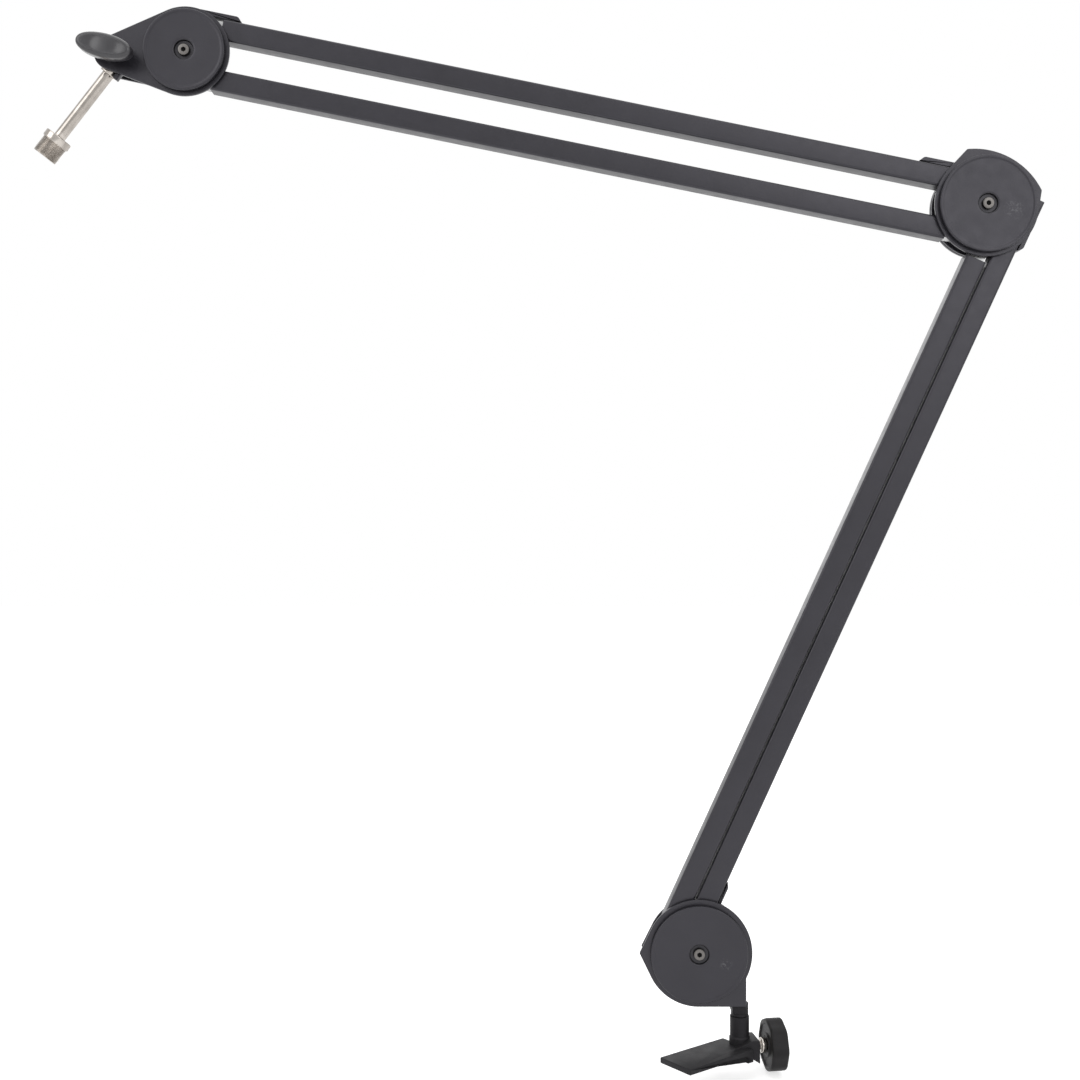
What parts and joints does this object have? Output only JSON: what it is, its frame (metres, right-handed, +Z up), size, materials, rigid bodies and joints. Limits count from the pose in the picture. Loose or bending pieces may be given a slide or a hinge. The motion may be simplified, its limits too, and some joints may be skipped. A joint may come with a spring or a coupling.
{
  "type": "desk microphone boom arm",
  "caption": "Sprung parallelogram microphone arm with an elbow, a tilting threaded stud with a wing knob, and a swivel post in a desk-edge foot with a knob-headed lock.",
  "frame": {"origin": "where the swivel post's axis meets the underside of the foot plate, at the level of the desk's top", "axes": "+X to the right in the side view, from the microphone end towards the elbow; +Y away from the viewer, across the housings; +Z up along the swivel post"},
  "size_m": [0.6147, 0.0629, 0.647],
  "materials": {
    "black_paint": "satin black powder coat",
    "black_plastic": "satin black moulded plastic",
    "gloss_plastic": "glossy black moulded plastic",
    "nickel": "bright nickel plate, slightly warm",
    "zinc": "zinc-plated fastener",
    "spring_steel": "plain drawn steel, hidden inside the tubes"
  },
  "bodies": {
    "foot": {"foot": "black_paint"},
    "lock": {"lock_screw": "nickel", "lock_knob": "black_plastic"},
    "base": {"swivel_post": "black_paint", "base_cheek_front": "black_paint", "base_cheek_rear": "black_paint", "base_pin_left": "nickel", "base_pin_right": "nickel", "base_bolt": "zinc", "base_nut": "zinc", "base_cover_front": "black_plastic", "base_cover_rear": "black_plastic"},
    "lower_left": {"lower_left_tube": "black_paint", "lower_left_plug_near": "spring_steel", "lower_left_plug_far": "spring_steel", "lower_left_spring": "spring_steel"},
    "lower_right": {"lower_right_tube": "black_paint", "lower_right_plug_near": "spring_steel", "lower_right_plug_far": "spring_steel", "lower_right_spring": "spring_steel", "lower_right_shoe_near": "black_paint", "lower_right_shoe_far": "black_paint"},
    "elbow": {"elbow_cheek_front": "black_paint", "elbow_cheek_rear": "black_paint", "elbow_pin_lower_left": "nickel", "elbow_pin_lower_right": "nickel", "elbow_pin_upper_bottom": "nickel", "elbow_pin_upper_top": "nickel", "elbow_bolt": "zinc", "elbow_nut": "zinc", "elbow_cover_front": "black_plastic", "elbow_cover_rear": "black_plastic"},
    "upper_bottom": {"upper_bottom_tube": "black_paint", "upper_bottom_plug_near": "spring_steel", "upper_bottom_plug_far": "spring_steel", "upper_bottom_spring": "spring_steel"},
    "upper_top": {"upper_top_tube": "black_paint", "upper_top_plug_near": "spring_steel", "upper_top_plug_far": "spring_steel", "upper_top_spring": "spring_steel", "upper_top_shoe_near": "black_paint", "upper_top_shoe_far": "black_paint"},
    "head": {"head_cheek_front": "black_paint", "head_cheek_rear": "black_paint", "head_pin_bottom": "nickel", "head_pin_top": "nickel", "head_bolt": "zinc", "head_nut": "zinc", "head_cover_front": "black_plastic", "head_cover_rear": "black_plastic", "nose_nut": "nickel"},
    "stud": {"stud_block": "black_paint", "stud_rod": "nickel", "stud_collar": "nickel", "stud_thread": "nickel"},
    "wing": {"wing_knob": "gloss_plastic", "wing_bolt": "nickel"}
  },
  "joints": [
    {"name": "arm_swivel", "type": "hinge", "parent": "foot", "child": "base", "pos_m": [0, 0, 0], "axis": [0, 0, 1], "continuous": true},
    {"name": "lock_turn", "type": "hinge", "parent": "foot", "child": "lock", "pos_m": [0, 0, 0.0016], "axis": [0.9903, 0.1392, 0], "range_deg": [0, 720]},
    {"name": "lower_arm_tilt", "type": "hinge", "parent": "base", "child": "lower_left", "pos_m": [-0.0496, 0, 0.0607], "axis": [0, -1, 0], "range_deg": [-1.2, 85]},
    {"name": "lower_right_turn", "type": "hinge", "parent": "base", "child": "lower_right", "pos_m": [-0.02561, 0, 0.08018], "axis": [0, -1, 0], "range_deg": [-1.2, 85]},
    {"name": "elbow_turn", "type": "hinge", "parent": "lower_left", "child": "elbow", "pos_m": [0.14605, 0, 0.48804], "axis": [0, -1, 0], "range_deg": [-85, 1.2]},
    {"name": "upper_arm_tilt", "type": "hinge", "parent": "elbow", "child": "upper_bottom", "pos_m": [0.13215, 0, 0.49754], "axis": [0, -1, 0], "range_deg": [-45, 55]},
    {"name": "upper_top_turn", "type": "hinge", "parent": "elbow", "child": "upper_top", "pos_m": [0.13825, 0, 0.52753], "axis": [0, -1, 0], "range_deg": [-45, 55]},
    {"name": "head_turn", "type": "hinge", "parent": "upper_bottom", "child": "head", "pos_m": [-0.32841, 0, 0.59124], "axis": [0, -1, 0], "range_deg": [-55, 45]},
    {"name": "stud_tilt", "type": "hinge", "parent": "head", "child": "stud", "pos_m": [-0.38131, 0, 0.60444], "axis": [0, -1, 0], "range_deg": [-150, 80]},
    {"name": "wing_turn", "type": "hinge", "parent": "head", "child": "wing", "pos_m": [-0.38131, 0, 0.60444], "axis": [0, -1, 0], "range_deg": [0, 360]}
  ],
  "couplings": [
    {"joint": "lower_right_turn", "follows": "lower_arm_tilt", "ratio": 1},
    {"joint": "elbow_turn", "follows": "lower_arm_tilt", "ratio": -1},
    {"joint": "upper_top_turn", "follows": "upper_arm_tilt", "ratio": 1},
    {"joint": "head_turn", "follows": "upper_arm_tilt", "ratio": -1}
  ]
}
